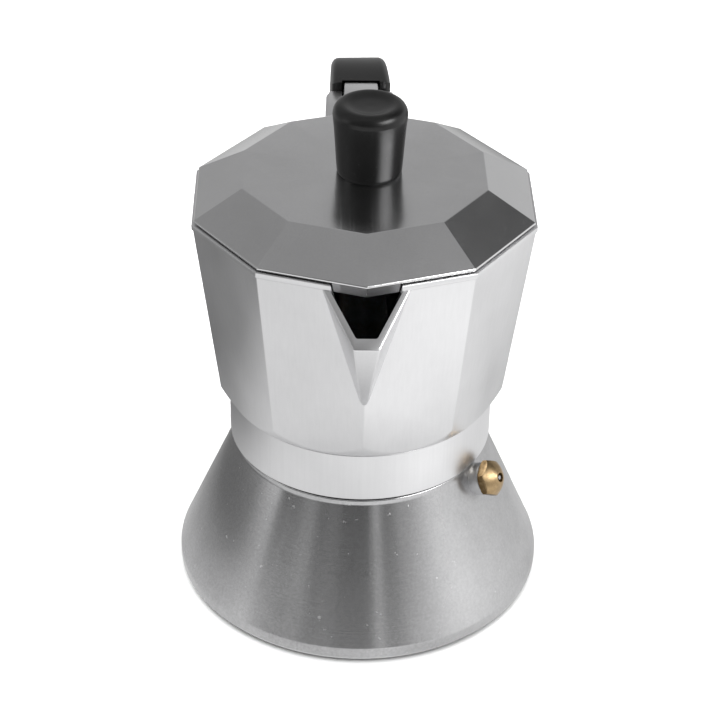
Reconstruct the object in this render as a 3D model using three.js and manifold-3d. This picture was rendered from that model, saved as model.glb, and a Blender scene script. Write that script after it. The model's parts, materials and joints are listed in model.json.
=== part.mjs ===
// A stove-top moka pot: boiler with safety valve, coffee funnel, gasket and filter, ten-sided upper pot
// with spout, hinged lid with knob, and side handle. Millimetres, +Z up. The origin is the centre of the
// boiler's underside; the spout points to -Y and the handle to +Y.
import * as THREE from 'three';
import { mergeVertices } from 'three/addons/utils/BufferGeometryUtils.js';
import { ConvexGeometry } from 'three/addons/geometries/ConvexGeometry.js';
import Module from 'manifold-3d';

const wasm = await Module();
wasm.setup();

// ---- driving dimensions ----
const GAP = 0.3; // clearance between neighbouring pieces
const ROUND = 44; // sides of a large round piece
const FINE_ROUND = 60; // sides of the round outsides in view
const SMALL_ROUND = 20; // sides of a small round piece
const SIDES = 10; // sides of the upper pot and lid

const BASE_RADIUS = 50.2;
const FOOT_HEIGHT = 4.5;
const GROOVE_INNER = 39.6; // turned groove in the flat underside
const GROOVE_OUTER = 41.6;
const GROOVE_DEPTH = 0.5;
const SHOULDER_RADIUS = 34.4; // top of the boiler's cone
const SHOULDER_BOTTOM = 41.2;
const SHOULDER_TOP = 42.3;
const BOILER_FLOOR = 3.5;
const NECK_TOP = 56.4;
const NECK_BORE = 28.9;
const NECK_ROOT = 31.6; // male thread root and crest
const NECK_CREST = 32.3;
const THREAD_PITCH = 3;
const THREAD_RINGS = 3;
const NECK_THREAD_START = 45.2;
const COLLAR_THREAD_START = 46.7;

const COLLAR_RADIUS = 35.5;
const COLLAR_BOTTOM = 43.5;
const COLLAR_ROOT = 33.4; // female thread root and crest
const COLLAR_CREST = 32.7;
const SEAT_RADIUS = 32.3; // gasket seat under the pot floor
const SEAT_BOTTOM = 57.2;
const SEAT_TOP = 61.1;
const PLATE_RECESS_RADIUS = 28.6;
const PLATE_RECESS_TOP = 62.3;
const COLUMN_HOLE = 6;

const POT_BOTTOM = 58.3;
const POT_FLOOR = 67;
const POT_RIM = 114.1;
const RIM_BAND = 1.7; // height of the bead round the rim
const POT_BOTTOM_RADIUS = 38.7; // across the corners / 2
const POT_RIM_RADIUS = 45.7;
const BEAD_RADIUS = 46.1;
const POT_WALL = 2.7;

const LID_EDGE_RADIUS = 45.46;
const LID_EDGE_TOP = 115.14;
const LID_EDGE_THICKNESS = 0.7;
const LID_TOP_RADIUS = 32.64;
const LID_TOP = 122.4;
const LID_SHEET = 2;
const SKIRT_RADIUS = 42.4;
const SKIRT_BOTTOM = 110.2;

const HINGE_Y = 53;
const HINGE_Z = 110.6;
const HINGE_PIN_RADIUS = 1.2;
const HINGE_HOLE_RADIUS = 1.5;
const KNUCKLE_RADIUS = 3.3;
const TONGUE_HALF_WIDTH = 4.8;
const TONGUE_END = 61;
const TONGUE_BOTTOM = 112.1;
const TONGUE_TOP = 116.9;
const SLOT_HALF_WIDTH = 5.3;
const TAIL_SWEEP_RADIUS = 11.2; // room for the tongue's tail as the lid opens
const BOSS_HALF_WIDTH = 10;
const BOSS_BACK = 60.2;
const EAR_TOP = 115.1;
const LUG_HALF_WIDTH = 4.2;
const LUG_BOTTOM = 92;
const LUG_TOP = 98.6;
const LUG_END = 70;
const HANDLE_FRONT = BOSS_BACK + GAP;
const HANDLE_HALF_WIDTH = 8.05;
const HANDLE_SKEW = 2; // degrees that the grip stands askew about its screw
const HANDLE_TAPER = 0.0038; // share of its width that the grip loses per millimetre backwards
const HANDLE_LEAST_WIDTH = 0.93; // share of its width that the grip keeps
const HANDLE_SCREW_Y = 65;

const KNOB_X = 1.2; // the knob stands slightly off the lid's centre
const KNOB_HEIGHT = 18.8;
const KNOB_SCREW_RADIUS = 2;
const INSERT_RADIUS = 3.4;
const INSERT_LENGTH = 8;

const VALVE_AZIMUTH = THREE.MathUtils.degToRad(61); // round from the spout towards +X
const VALVE_HEIGHT = 37.2;
const VALVE_HOLE = 3.4;

// ---- materials ----
function metal(colour, roughness) {
  return new THREE.MeshStandardMaterial({ color: colour, roughness, metalness: 1 });
}

function plastic(colour, roughness) {
  return new THREE.MeshStandardMaterial({ color: colour, roughness, metalness: 0 });
}

const castAluminium = metal(0xc9cacb, 0.35);
const boilerAluminium = metal(0xb4b5b6, 0.42);
const polishedAluminium = metal(0xbfc0c1, 0.18);
const spunAluminium = metal(0xcfcfcd, 0.3);
const steel = metal(0x9a9b9d, 0.3);
const brass = metal(0xb98a4a, 0.32);
const rubber = plastic(0xd8d4c8, 0.7);
const blackPlastic = plastic(0x161616, 0.3);

// ---- solids ----
function signedVolume(position, index) {
  const corner = [new THREE.Vector3(), new THREE.Vector3(), new THREE.Vector3()];
  let sum = 0;
  for (let i = 0; i < index.length; i += 3) {
    corner.forEach((point, k) => point.fromBufferAttribute(position, index[i + k]));
    sum += corner[0].dot(corner[1].cross(corner[2])) / 6;
  }
  return sum;
}

function solid(geometry) {
  const bare = geometry.clone();
  bare.deleteAttribute('normal');
  bare.deleteAttribute('uv');
  const merged = mergeVertices(bare, 1e-5);
  const position = merged.attributes.position;
  const faces = Array.from(merged.index.array);
  const whole = [];
  for (let i = 0; i < faces.length; i += 3) {
    const [a, b, c] = faces.slice(i, i + 3);
    if (a !== b && b !== c && c !== a) whole.push(a, b, c);
  }
  if (signedVolume(position, whole) < 0) whole.reverse();
  const mesh = new wasm.Mesh({
    numProp: 3,
    vertProperties: new Float32Array(position.array),
    triVerts: new Uint32Array(whole),
  });
  return new wasm.Manifold(mesh);
}

// Turned or ten-sided solid about Z from [radius, height] points; a corner always faces -Y.
function turned(points, sides = ROUND) {
  const outline = points.map(([radius, height]) => new THREE.Vector2(radius, height));
  const geometry = new THREE.LatheGeometry(outline, sides);
  geometry.rotateX(Math.PI / 2);
  return solid(geometry);
}

// Turned ring whose outline closes on itself away from the axis.
function ring(points, sides = ROUND) {
  return turned([...points, points[0]], sides);
}

function cylinder(radius, bottom, top, sides = SMALL_ROUND) {
  return turned([[0, bottom], [radius, bottom], [radius, top], [0, top]], sides);
}

function tube(outer, inner, bottom, top, sides = SMALL_ROUND) {
  return ring([[inner, bottom], [outer, bottom], [outer, top], [inner, top]], sides);
}

function box(low, high) {
  const size = high.map((value, k) => value - low[k]);
  const geometry = new THREE.BoxGeometry(...size);
  geometry.translate(...low.map((value, k) => value + size[k] / 2));
  return solid(geometry);
}

function hull(points) {
  return solid(new ConvexGeometry(points.map((point) => new THREE.Vector3(...point))));
}

// Cylinder lying along X through (y, z).
function crossBar(radius, halfLength, y, z) {
  const geometry = new THREE.CylinderGeometry(radius, radius, 2 * halfLength, 32);
  geometry.rotateZ(Math.PI / 2);
  geometry.translate(0, y, z);
  return solid(geometry);
}

// Side outline in the YZ plane, extruded across X; rounding softens its edges.
function sidePlate(outline, halfWidth, rounding = 0) {
  const geometry = new THREE.ExtrudeGeometry(outline, {
    depth: 2 * (halfWidth - rounding),
    bevelEnabled: rounding > 0,
    bevelThickness: rounding,
    bevelSize: rounding,
    bevelOffset: -rounding,
    bevelSegments: 4,
    curveSegments: 11,
  });
  geometry.translate(0, 0, rounding - halfWidth);
  const standing = new THREE.Matrix4().set(0, 0, 1, 0, 1, 0, 0, 0, 0, 1, 0, 0, 0, 0, 0, 1);
  geometry.applyMatrix4(standing);
  return solid(geometry);
}

function polygon(points) {
  return new THREE.Shape(points.map(([x, y]) => new THREE.Vector2(x, y)));
}

function drillGrid(plate, reach, pitch, holeRadius, bottom, top) {
  const rowHeight = pitch * Math.sin(Math.PI / 3);
  const rows = Math.floor(reach / rowHeight);
  let drilled = plate;
  for (let row = -rows; row <= rows; row += 1) {
    const shift = row % 2 === 0 ? 0 : pitch / 2;
    const columns = Math.ceil(reach / pitch);
    for (let column = -columns; column <= columns; column += 1) {
      const x = column * pitch + shift;
      const y = row * rowHeight;
      if (Math.hypot(x, y) <= reach) {
        drilled = drilled.subtract(cylinder(holeRadius, bottom, top, 6).translate([x, y, 0]));
      }
    }
  }
  return drilled;
}

// ---- assembly ----
const pot = new THREE.Group();

function add(name, shape, material) {
  const mesh = shape.getMesh();
  const geometry = new THREE.BufferGeometry();
  geometry.setAttribute('position', new THREE.BufferAttribute(new Float32Array(mesh.vertProperties), 3));
  geometry.setIndex(new THREE.BufferAttribute(new Uint32Array(mesh.triVerts), 1));
  geometry.computeVertexNormals();
  const part = new THREE.Mesh(geometry, material);
  part.name = name;
  pot.add(part);
  return part;
}

// ---- boiler ----
function threadRings(outer, inner, firstHeight, sides) {
  const rings = [];
  for (let turn = 0; turn < THREAD_RINGS; turn += 1) {
    const z = firstHeight + turn * THREAD_PITCH;
    rings.push(ring([[inner, z - 0.9], [outer, z - 0.3], [outer, z + 0.3], [inner, z + 0.9]], sides));
  }
  return rings;
}

// Puts a solid made along +Z, with z = 0 on the boiler's outer face, onto the valve's axis.
function onValveAxis(shape) {
  const slope = (BASE_RADIUS - SHOULDER_RADIUS) / (SHOULDER_BOTTOM - FOOT_HEIGHT);
  const tilt = Math.atan(slope);
  const radius = BASE_RADIUS - slope * (VALVE_HEIGHT - FOOT_HEIGHT);
  const lean = 90 - THREE.MathUtils.radToDeg(tilt);
  const turn = THREE.MathUtils.radToDeg(VALVE_AZIMUTH);
  return shape.rotate([lean, 0, 0]).translate([0, -radius, VALVE_HEIGHT]).rotate([0, 0, turn]);
}

function boilerBody() {
  const outside = turned([
    [0, 0], [GROOVE_INNER, 0], [GROOVE_INNER + 0.4, GROOVE_DEPTH], [GROOVE_OUTER - 0.4, GROOVE_DEPTH],
    [GROOVE_OUTER, 0], [48.6, 0], [49.6, 0.7], [BASE_RADIUS, 2.2], [BASE_RADIUS, FOOT_HEIGHT],
    [SHOULDER_RADIUS, SHOULDER_BOTTOM], [SHOULDER_RADIUS, SHOULDER_TOP - 0.3],
    [SHOULDER_RADIUS - 0.3, SHOULDER_TOP], [NECK_ROOT, SHOULDER_TOP], [NECK_ROOT, NECK_TOP - 0.6],
    [NECK_ROOT - 0.6, NECK_TOP], [0, NECK_TOP],
  ], FINE_ROUND);
  const inside = turned([
    [0, BOILER_FLOOR], [44, BOILER_FLOOR], [47, 6], [31, 41], [NECK_BORE, 44], [NECK_BORE, NECK_TOP + 1],
    [0, NECK_TOP + 1],
  ]);
  const rings = threadRings(NECK_CREST, NECK_ROOT - 0.5, NECK_THREAD_START, FINE_ROUND);
  const threaded = rings.reduce((body, turn) => body.add(turn), outside);
  const valveHole = onValveAxis(cylinder(VALVE_HOLE, -9, 4, 28));
  return threaded.subtract(inside).subtract(valveHole);
}

// ---- safety valve, each piece along its own axis ----
const WASHER_RADIUS = 4.25;
const WASHER_TOP = 2.8;
const HEX_RADIUS = 4.6;
const HEX_BOTTOM = WASHER_TOP + GAP;
const NOSE_TOP = 6.8;
const MOUTH_BOTTOM = 5.9; // the bore narrows above here
const MOUTH_RADIUS = 1.2;
const VALVE_BORE = 1.9;
const VALVE_INNER_END = -6.5;
const CAP_BOTTOM = 4.6;
const CAP_TOP = 5.6;
const PIN_RADIUS = 0.6;
const PIN_HEAD_RADIUS = 1.5;
const SPRING_COIL_RADIUS = 1.25;
const SPRING_WIRE_RADIUS = 0.22;
const SPRING_TURNS = 5;

function valveWasher() {
  return tube(WASHER_RADIUS, VALVE_HOLE, GAP, WASHER_TOP, 28);
}

// Hexagon whose outer end is turned down to a round nose, on a plain shank.
function valveBody() {
  const shank = cylinder(3, VALVE_INNER_END, HEX_BOTTOM + 0.5, 28);
  const envelope = turned([
    [0, HEX_BOTTOM], [HEX_RADIUS, HEX_BOTTOM], [HEX_RADIUS, 4.75], [3.9, 5.25], [3.35, 5.75], [2.7, 6.2],
    [2.1, 6.55], [1.6, NOSE_TOP], [0, NOSE_TOP],
  ], 36);
  const hex = cylinder(HEX_RADIUS, HEX_BOTTOM, NOSE_TOP + 1, 6).intersect(envelope);
  const mouth = cylinder(MOUTH_RADIUS, MOUTH_BOTTOM - 1, NOSE_TOP + 1);
  const bore = cylinder(VALVE_BORE, -4.5, MOUTH_BOTTOM).add(mouth);
  const inlet = cylinder(0.9, VALVE_INNER_END - 1, -4);
  return shank.add(hex).subtract(bore).subtract(inlet);
}

// Bushing in the mouth of the bore; it guides the pin and holds the spring.
function valveCap() {
  return tube(VALVE_BORE - GAP, PIN_RADIUS + GAP, CAP_BOTTOM, CAP_TOP);
}

function valvePin() {
  return cylinder(PIN_HEAD_RADIUS, -4.2, -2.9).add(cylinder(PIN_RADIUS, -3, NOSE_TOP - 0.2, 12));
}

class Helix extends THREE.Curve {
  constructor(radius, bottom, top, turns) {
    super();
    Object.assign(this, { radius, bottom, top, turns });
  }

  getPoint(t) {
    const angle = 2 * Math.PI * this.turns * t;
    const z = this.bottom + (this.top - this.bottom) * t;
    return new THREE.Vector3(this.radius * Math.cos(angle), this.radius * Math.sin(angle), z);
  }
}

function valveSpring() {
  const section = new THREE.Shape();
  section.absarc(0, 0, SPRING_WIRE_RADIUS, 0, 2 * Math.PI, false);
  const path = new Helix(SPRING_COIL_RADIUS, -1.6, CAP_BOTTOM - 0.6, SPRING_TURNS);
  const coil = { steps: SPRING_TURNS * 12, curveSegments: 3, bevelEnabled: false, extrudePath: path };
  return solid(new THREE.ExtrudeGeometry(section, coil));
}

// ---- funnel ----
const CUP_RADIUS = 28.3;
const CUP_SHEET = 0.9;
const FLANGE_RADIUS = 31.2;
const FLANGE_BOTTOM = NECK_TOP + GAP;
const FLANGE_TOP = 57.5;
const CUP_CORNER = 41;
const STEM_SOCKET = 3.9;
const STEM_RADIUS = 3.4;
const STEM_BORE = 2.6;

function funnelBasket() {
  const socketOuter = STEM_SOCKET + CUP_SHEET;
  return ring([
    [FLANGE_RADIUS, FLANGE_BOTTOM], [FLANGE_RADIUS, FLANGE_TOP], [CUP_RADIUS - CUP_SHEET, FLANGE_TOP],
    [CUP_RADIUS - CUP_SHEET, CUP_CORNER + 0.6], [STEM_SOCKET, 34.6], [STEM_SOCKET, 29], [socketOuter, 29],
    [socketOuter, 34], [CUP_RADIUS, CUP_CORNER], [CUP_RADIUS, FLANGE_BOTTOM],
  ]);
}

function funnelStem() {
  return ring([
    [STEM_BORE, 9], [STEM_BORE, 35.2], [STEM_RADIUS, 35.2], [STEM_RADIUS, 7], [STEM_RADIUS - 0.5, 7],
  ], 24);
}

function basketSieve() {
  const disc = cylinder(27, 42.4, 43.1, 48);
  return drillGrid(disc, 23, 7, 1.1, 42, 44);
}

// ---- gasket and filter ----
function gasket() {
  return ring([
    [26.2, 57.8], [31.6, 57.8], [31.9, 58.2], [31.9, 60.4], [31.6, 60.8], [26.2, 60.8],
  ]);
}

function filterPlate() {
  const disc = cylinder(28.2, 61.4, 62, 56);
  return drillGrid(disc, 23, 6.2, 1, 61, 63);
}

// ---- upper pot ----
const SPOUT_HALF_WIDTH = 10.8; // where it leaves the rim
const SPOUT_LIP_HALF_WIDTH = 3.2;
const SPOUT_LIP_Y = -55.6;
const SPOUT_LIP_Z = 103.5;
const SPOUT_TIP_Z = 77.6;
const SPOUT_ROOT_Y = -42.6;
const SPOUT_ROOT_Z = 112.7;

function potRadiusAt(z) {
  const rise = (z - POT_BOTTOM) / (POT_RIM - RIM_BAND - POT_BOTTOM);
  return POT_BOTTOM_RADIUS + (POT_RIM_RADIUS - POT_BOTTOM_RADIUS) * rise;
}

function potShell() {
  const bandBottom = POT_RIM - RIM_BAND;
  const tenSided = turned([
    [0, POT_BOTTOM], [POT_BOTTOM_RADIUS, POT_BOTTOM], [POT_RIM_RADIUS, bandBottom],
    [BEAD_RADIUS, bandBottom + 0.3], [BEAD_RADIUS, POT_RIM - 0.3], [BEAD_RADIUS - 0.3, POT_RIM], [0, POT_RIM],
  ], SIDES);
  const roundedFoot = turned([
    [0, POT_BOTTOM], [36.35, POT_BOTTOM], [43.2, 70], [60, 72], [60, 120], [0, 120],
  ], FINE_ROUND);
  const collar = cylinder(COLLAR_RADIUS, COLLAR_BOTTOM, POT_BOTTOM + 0.5, FINE_ROUND);
  return tenSided.intersect(roundedFoot).add(collar);
}

function spoutOutside() {
  const tipRadius = potRadiusAt(SPOUT_TIP_Z);
  const points = [[0, -tipRadius, SPOUT_TIP_Z], [0, -38.5, SPOUT_TIP_Z + 1]];
  for (const side of [-1, 1]) {
    points.push([side * SPOUT_HALF_WIDTH, SPOUT_ROOT_Y, SPOUT_ROOT_Z]);
    points.push([side * SPOUT_HALF_WIDTH, SPOUT_ROOT_Y + 4, SPOUT_ROOT_Z + 1.2]);
    points.push([side * SPOUT_LIP_HALF_WIDTH, SPOUT_LIP_Y, SPOUT_LIP_Z]);
  }
  return hull(points);
}

function spoutInside() {
  const above = 118;
  const within = -34;
  const points = [[0, -39.4, 83], [0, within, 84.5]];
  for (const side of [-1, 1]) {
    points.push([side * 2.6, -53.1, 105.2]);
    points.push([side * 2.6, -53.1, above]);
    for (const y of [-43.1, within]) {
      points.push([side * 8.8, y, 112.4]);
      points.push([side * 8.8, y, above]);
    }
  }
  return hull(points);
}

// Hinge ears and handle boss in one block on the pot's back corner, with the lug that enters the handle.
function backBoss() {
  const plan = new THREE.ExtrudeGeometry(polygon([
    [-BOSS_HALF_WIDTH, 40], [BOSS_HALF_WIDTH, 40], [BOSS_HALF_WIDTH, 46], [9.7, BOSS_BACK - 2.5],
    [8.7, BOSS_BACK], [-8.7, BOSS_BACK], [-9.7, BOSS_BACK - 2.5], [-BOSS_HALF_WIDTH, 46],
  ]), { depth: 40, bevelEnabled: false });
  plan.translate(0, 0, 80);
  const profile = polygon([
    [38, 80], [43.5, 80], [BOSS_BACK, 90], [BOSS_BACK, EAR_TOP], [46.2, EAR_TOP], [46.2, POT_RIM],
    [43, POT_RIM], [38, 110],
  ]);
  const block = solid(plan).intersect(sidePlate(profile, 12));
  const lug = box([-LUG_HALF_WIDTH, 50, LUG_BOTTOM], [LUG_HALF_WIDTH, LUG_END, LUG_TOP]);
  return block.add(lug);
}

function tongueSlot() {
  const behind = 49;
  const rim = box([-SLOT_HALF_WIDTH, 40, TONGUE_BOTTOM - 0.5], [SLOT_HALF_WIDTH, 62, 118]);
  const knuckleRoom = crossBar(KNUCKLE_RADIUS + 0.6, SLOT_HALF_WIDTH, HINGE_Y, HINGE_Z);
  const keep = box([-SLOT_HALF_WIDTH, behind, 90], [SLOT_HALF_WIDTH, 70, 118]);
  const sweep = crossBar(TAIL_SWEEP_RADIUS, SLOT_HALF_WIDTH, HINGE_Y, HINGE_Z).intersect(keep);
  return rim.add(knuckleRoom).add(sweep);
}

function potHollow() {
  const top = POT_RIM + 1;
  const chamber = turned([
    [0, POT_FLOOR], [34.4, POT_FLOOR], [potRadiusAt(70) - POT_WALL, 70], [potRadiusAt(top) - POT_WALL, top],
    [0, top],
  ], SIDES);
  const under = turned([
    [0, COLLAR_BOTTOM - 1], [COLLAR_ROOT, COLLAR_BOTTOM - 1], [COLLAR_ROOT, SEAT_BOTTOM],
    [SEAT_RADIUS, SEAT_BOTTOM], [SEAT_RADIUS, SEAT_TOP], [PLATE_RECESS_RADIUS, SEAT_TOP],
    [PLATE_RECESS_RADIUS, PLATE_RECESS_TOP], [24.5, PLATE_RECESS_TOP], [COLUMN_HOLE, 64.6],
    [COLUMN_HOLE, POT_FLOOR + 1], [0, POT_FLOOR + 1],
  ]);
  return chamber.add(under);
}

function upperPot() {
  const outside = potShell().add(spoutOutside()).add(backBoss());
  const hinge = crossBar(HINGE_HOLE_RADIUS, 12, HINGE_Y, HINGE_Z);
  const screwHole = cylinder(1.8, LUG_BOTTOM - 1, LUG_TOP + 1).translate([0, HANDLE_SCREW_Y, 0]);
  let body = outside.subtract(potHollow()).subtract(spoutInside()).subtract(tongueSlot());
  body = body.subtract(hinge).subtract(screwHole);
  const rings = threadRings(COLLAR_CREST, COLLAR_ROOT + 0.5, COLLAR_THREAD_START, ROUND);
  for (const turn of rings) body = body.add(turn);
  return body;
}

// Coffee rises through the column and leaves by two slots under its closed top.
function coffeeColumn() {
  const top = 104;
  const bore = 2.4;
  const outside = turned([
    [0, 63.5], [COLUMN_HOLE - GAP, 63.5], [COLUMN_HOLE - GAP, POT_FLOOR + GAP], [8.6, POT_FLOOR + GAP],
    [7.6, 70], [5, top - 2], [3.8, top - 0.4], [2.6, top], [0, top],
  ], 32);
  const inside = turned([[0, 62], [4.2, 62], [bore, 68], [bore, top - 2], [0, top - 2]], 24);
  const slots = box([-8, -1.5, top - 8], [8, 1.5, top - 3.5]);
  return outside.subtract(inside).subtract(slots);
}

function hingePin() {
  return crossBar(HINGE_PIN_RADIUS, BOSS_HALF_WIDTH - 1, HINGE_Y, HINGE_Z);
}

// ---- handle ----
function handleOutline() {
  const outline = new THREE.Shape();
  outline.moveTo(HANDLE_FRONT, 84.5);
  outline.lineTo(HANDLE_FRONT, 117.3);
  outline.bezierCurveTo(70, 118.5, 78, 118.3, 83.5, 112.6);
  outline.bezierCurveTo(91, 104.8, 93.5, 90, 94.5, 72);
  outline.bezierCurveTo(94.8, 64, 92, 59.5, 87.5, 59.5);
  outline.bezierCurveTo(82.5, 59.5, 80.4, 63, 80, 69);
  outline.bezierCurveTo(79.4, 79, 77.5, 84.5, 70, 85.6);
  outline.closePath();
  return outline;
}

function handle() {
  const straight = sidePlate(handleOutline(), HANDLE_HALF_WIDTH, 2.6);
  const tapered = straight.warp((point) => {
    point[0] *= Math.max(HANDLE_LEAST_WIDTH, 1 - HANDLE_TAPER * (point[1] - HANDLE_FRONT));
  });
  const onScrew = tapered.translate([0, -HANDLE_SCREW_Y, 0]).rotate([0, 0, HANDLE_SKEW]);
  const body = onScrew.translate([0, HANDLE_SCREW_Y, 0]);
  const notch = box([-SLOT_HALF_WIDTH, 50, HINGE_Z], [SLOT_HALF_WIDTH, TONGUE_END + 0.7, 125]);
  const sweep = crossBar(TAIL_SWEEP_RADIUS, SLOT_HALF_WIDTH, HINGE_Y, HINGE_Z);
  const socket = box(
    [-LUG_HALF_WIDTH - GAP, 50, LUG_BOTTOM - GAP],
    [LUG_HALF_WIDTH + GAP, LUG_END + 0.5, LUG_TOP + GAP],
  );
  const clearance = cylinder(1.8, 80, LUG_BOTTOM).translate([0, HANDLE_SCREW_Y, 0]);
  const counterbore = cylinder(3.4, 80, 88.6, 24).translate([0, HANDLE_SCREW_Y, 0]);
  return body.subtract(notch).subtract(sweep).subtract(socket).subtract(clearance).subtract(counterbore);
}

function handleScrew() {
  const head = cylinder(3, 86.3, 88.3, 24);
  const shank = cylinder(1.5, 88, LUG_TOP - 0.6);
  const drive = box([-2.2, -0.4, 86], [2.2, 0.4, 87.2]);
  return head.add(shank).subtract(drive).translate([0, HANDLE_SCREW_Y, 0]);
}

// ---- lid ----
function lid() {
  const edgeBottom = LID_EDGE_TOP - LID_EDGE_THICKNESS;
  const underside = LID_TOP - LID_SHEET;
  const shell = turned([
    [0, LID_TOP], [LID_TOP_RADIUS, LID_TOP], [LID_EDGE_RADIUS, LID_EDGE_TOP], [LID_EDGE_RADIUS, edgeBottom],
    [SKIRT_RADIUS, edgeBottom], [SKIRT_RADIUS, SKIRT_BOTTOM], [SKIRT_RADIUS - 1.5, SKIRT_BOTTOM],
    [SKIRT_RADIUS - 1.5, 115.4], [31.6, underside], [0, underside],
  ], SIDES);
  const tongue = sidePlate(polygon([
    [41.5, TONGUE_BOTTOM], [TONGUE_END, TONGUE_BOTTOM], [TONGUE_END, TONGUE_TOP], [48.5, TONGUE_TOP],
    [45.5, LID_EDGE_TOP], [41.5, LID_EDGE_TOP],
  ]), TONGUE_HALF_WIDTH);
  const knuckle = crossBar(KNUCKLE_RADIUS, TONGUE_HALF_WIDTH, HINGE_Y, HINGE_Z);
  const pinHole = crossBar(HINGE_HOLE_RADIUS, 10, HINGE_Y, HINGE_Z);
  const screwHole = cylinder(2.3, 118, 125).translate([KNOB_X, 0, 0]);
  return shell.add(tongue).add(knuckle).subtract(pinHole).subtract(screwHole);
}

// Heights below are measured from the knob's foot.
function knob() {
  const sides = 40;
  const outside = turned([
    [0, 0], [8.1, 0], [8.4, 0.4], [8.6, 3], [8.85, 7], [9.15, 12], [9.42, 15.4], [9.25, 16.6], [8.75, 17.7],
    [7.9, 18.5], [7, KNOB_HEIGHT], [6.2, 18.7], [4, 18.1], [0, 17.9],
  ], sides);
  const bore = cylinder(INSERT_RADIUS + GAP, -1, INSERT_LENGTH + 2 * GAP, 24);
  return outside.subtract(bore).translate([KNOB_X, 0, LID_TOP + GAP]);
}

function knobInsert() {
  const bottom = LID_TOP + GAP + 0.1;
  const sleeve = tube(INSERT_RADIUS, KNOB_SCREW_RADIUS + GAP, bottom, bottom + INSERT_LENGTH, 24);
  return sleeve.translate([KNOB_X, 0, 0]);
}

function knobWasher() {
  const top = LID_TOP - LID_SHEET - GAP;
  return tube(4.8, KNOB_SCREW_RADIUS + GAP, top - 0.8, top, 24).translate([KNOB_X, 0, 0]);
}

function knobScrew() {
  const headTop = LID_TOP - LID_SHEET - 2 * GAP - 0.8;
  const head = cylinder(3.8, headTop - 2, headTop, 24);
  const shank = cylinder(KNOB_SCREW_RADIUS, headTop - 0.5, LID_TOP + INSERT_LENGTH);
  const drive = box([-2.8, -0.5, headTop - 3], [2.8, 0.5, headTop - 1.1]);
  return head.add(shank).subtract(drive).translate([KNOB_X, 0, 0]);
}

add('boiler_body', boilerBody(), boilerAluminium);
add('valve_washer', onValveAxis(valveWasher()), spunAluminium);
add('valve_body', onValveAxis(valveBody()), brass);
add('valve_cap', onValveAxis(valveCap()), brass);
add('valve_spring', onValveAxis(valveSpring()), steel);
add('valve_pin', onValveAxis(valvePin()), steel);
add('funnel_basket', funnelBasket(), spunAluminium);
add('funnel_stem', funnelStem(), spunAluminium);
add('basket_sieve', basketSieve(), spunAluminium);
add('gasket', gasket(), rubber);
add('filter_plate', filterPlate(), spunAluminium);
add('upper_pot', upperPot(), castAluminium);
add('coffee_column', coffeeColumn(), castAluminium);
add('hinge_pin', hingePin(), steel);
add('handle', handle(), blackPlastic);
add('handle_screw', handleScrew(), steel);
add('lid', lid(), polishedAluminium);
add('knob', knob(), blackPlastic);
add('knob_insert', knobInsert(), brass);
add('knob_washer', knobWasher(), steel);
add('knob_screw', knobScrew(), steel);

export default pot;
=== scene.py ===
import json
import math

import bmesh
import bpy
from mathutils import Matrix, Vector
from mathutils.geometry import interpolate_bezier


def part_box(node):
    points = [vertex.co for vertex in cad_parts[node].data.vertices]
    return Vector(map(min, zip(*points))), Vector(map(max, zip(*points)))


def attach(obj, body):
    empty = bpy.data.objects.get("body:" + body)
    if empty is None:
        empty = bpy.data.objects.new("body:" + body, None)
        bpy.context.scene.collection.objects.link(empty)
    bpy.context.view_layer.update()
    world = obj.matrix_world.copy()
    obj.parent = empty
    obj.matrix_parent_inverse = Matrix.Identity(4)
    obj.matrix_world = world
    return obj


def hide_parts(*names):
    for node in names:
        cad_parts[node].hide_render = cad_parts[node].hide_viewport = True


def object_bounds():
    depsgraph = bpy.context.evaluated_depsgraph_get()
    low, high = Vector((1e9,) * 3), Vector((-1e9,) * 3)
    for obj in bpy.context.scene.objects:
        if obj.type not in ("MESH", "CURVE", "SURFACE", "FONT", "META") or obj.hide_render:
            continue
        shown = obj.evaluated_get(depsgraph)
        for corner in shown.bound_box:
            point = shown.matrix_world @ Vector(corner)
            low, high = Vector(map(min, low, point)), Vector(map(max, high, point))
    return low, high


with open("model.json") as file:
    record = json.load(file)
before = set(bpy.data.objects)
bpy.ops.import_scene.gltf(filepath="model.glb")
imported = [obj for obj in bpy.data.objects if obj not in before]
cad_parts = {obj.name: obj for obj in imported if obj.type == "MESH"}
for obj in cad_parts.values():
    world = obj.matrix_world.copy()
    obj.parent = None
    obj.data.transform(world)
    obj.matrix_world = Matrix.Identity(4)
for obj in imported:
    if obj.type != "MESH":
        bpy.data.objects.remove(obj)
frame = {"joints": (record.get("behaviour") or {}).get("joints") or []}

cad_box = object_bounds()

# Shapes are built in millimetres in the CAD frame and scaled to metres when they become objects.
MM = 0.001
GAP = 0.3  # between neighbouring parts


def mm_box(node):
    low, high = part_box(node)
    return low / MM, high / MM


boiler_high = mm_box("boiler_body")[1]
pot_low = mm_box("upper_pot")[0]
lid_high = mm_box("lid")[1]
knob_low, knob_high = mm_box("knob")
handle_low = mm_box("handle")[0]
column_high = mm_box("coffee_column")[1]
basket_high = mm_box("funnel_basket")[1]
stem_high = mm_box("funnel_stem")[1]
sieve_low, sieve_high = mm_box("basket_sieve")
gasket_low, gasket_high = mm_box("gasket")
filter_low, filter_high = mm_box("filter_plate")
pin_high = mm_box("hinge_pin")[1]
insert_low, insert_high = mm_box("knob_insert")
washer_low, washer_high = mm_box("knob_washer")
knob_screw_low, knob_screw_high = mm_box("knob_screw")
handle_screw_low, handle_screw_high = mm_box("handle_screw")

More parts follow.
